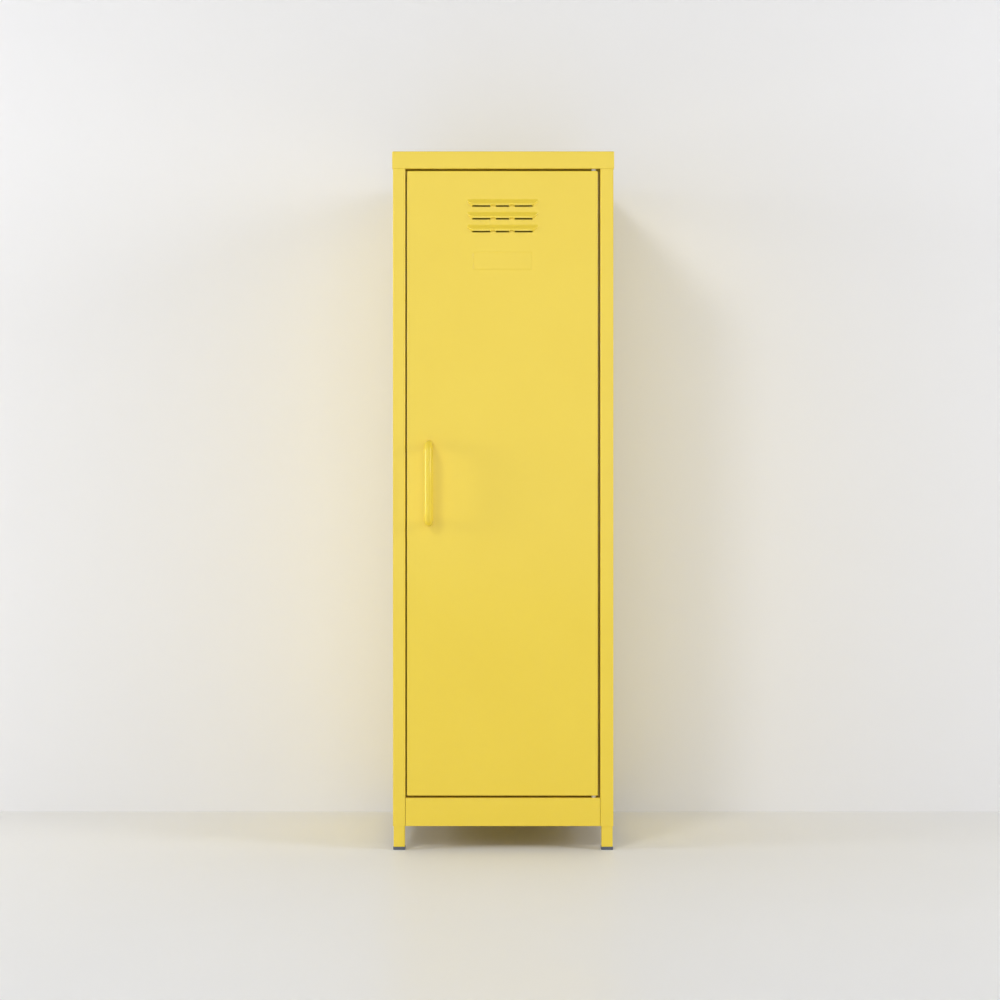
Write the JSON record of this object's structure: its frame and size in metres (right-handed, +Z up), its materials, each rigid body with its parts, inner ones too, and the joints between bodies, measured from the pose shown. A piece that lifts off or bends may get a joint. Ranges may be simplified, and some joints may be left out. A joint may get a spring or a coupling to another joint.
{
  "type": "locker cabinet",
  "caption": "Narrow freestanding steel locker with a single hinged door, louvred vents, a bar handle, removable shelves and short square legs.",
  "frame": {"origin": "on the floor, under the middle of the whole object's box, handle and rear screw heads included", "axes": "+Z up, +X to the right seen from the front, and the door faces -Y"},
  "size_m": [0.3522, 0.4398, 1.108],
  "materials": {
    "yellow_powder_coat": "satin powder coat with a fine orange peel",
    "foot_plastic": "moulded, matte, blue-grey",
    "white_nylon": "moulded nylon",
    "bumper_rubber": "soft, pale and slightly cloudy",
    "magnet_ferrite": "sintered, matte",
    "zinc_steel": "bright zinc plate"
  },
  "bodies": {
    "cabinet": {"back_panel": "yellow_powder_coat", "back_screw_1_left": "zinc_steel", "back_screw_1_right": "zinc_steel", "back_screw_2_left": "zinc_steel", "back_screw_2_right": "zinc_steel", "back_screw_3_left": "zinc_steel", "back_screw_3_right": "zinc_steel", "back_screw_4_left": "zinc_steel", "back_screw_4_right": "zinc_steel", "cap_screw_left": "zinc_steel", "cap_screw_right": "zinc_steel", "catch_housing": "white_nylon", "catch_magnet": "magnet_ferrite", "catch_screw": "zinc_steel", "clip_lower_front_left": "zinc_steel", "clip_lower_front_right": "zinc_steel", "clip_lower_rear_left": "zinc_steel", "clip_lower_rear_right": "zinc_steel", "clip_upper_front_left": "zinc_steel", "clip_upper_front_right": "zinc_steel", "clip_upper_rear_left": "zinc_steel", "clip_upper_rear_right": "zinc_steel", "door_bumper_lower": "bumper_rubber", "door_bumper_upper": "bumper_rubber", "floor_panel": "yellow_powder_coat", "glide_front_left": "foot_plastic", "glide_front_right": "foot_plastic", "glide_rear_left": "foot_plastic", "glide_rear_right": "foot_plastic", "header_rail": "yellow_powder_coat", "hinge_bush_bottom": "white_nylon", "hinge_bush_top": "white_nylon", "kick_rail": "yellow_powder_coat", "leg_front_left": "yellow_powder_coat", "leg_front_right": "yellow_powder_coat", "leg_rear_left": "yellow_powder_coat", "leg_rear_right": "yellow_powder_coat", "leg_screw_left": "zinc_steel", "leg_screw_right": "zinc_steel", "rear_bottom_rail": "yellow_powder_coat", "rear_top_rail": "yellow_powder_coat", "side_panel_left": "yellow_powder_coat", "side_panel_right": "yellow_powder_coat", "top_cap": "yellow_powder_coat", "upright_front_left": "yellow_powder_coat", "upright_front_right": "yellow_powder_coat", "upright_rear_left": "yellow_powder_coat", "upright_rear_right": "yellow_powder_coat"},
    "door": {"door_panel": "yellow_powder_coat", "door_stiffener": "yellow_powder_coat", "handle": "yellow_powder_coat", "handle_screw_lower": "zinc_steel", "handle_screw_upper": "zinc_steel", "hinge_pin_bottom": "zinc_steel", "hinge_pin_top": "zinc_steel", "pin_plate_bottom": "zinc_steel", "pin_plate_top": "zinc_steel", "strike_plate": "zinc_steel"},
    "shelf_upper": {"shelf_upper": "yellow_powder_coat"},
    "shelf_lower": {"shelf_lower": "yellow_powder_coat"}
  },
  "joints": [
    {"name": "door_hinge", "type": "hinge", "parent": "cabinet", "child": "door", "pos_m": [0.1439, -0.1764, 0.5815], "axis": [0, 0, 1], "range_deg": [0, 100]},
    {"name": "shelf_upper_lift", "type": "slide", "parent": "cabinet", "child": "shelf_upper", "axis": [0, 0, 1], "range_m": [0, 0.02]},
    {"name": "shelf_lower_lift", "type": "slide", "parent": "cabinet", "child": "shelf_lower", "axis": [0, 0, 1], "range_m": [0, 0.02]}
  ]
}
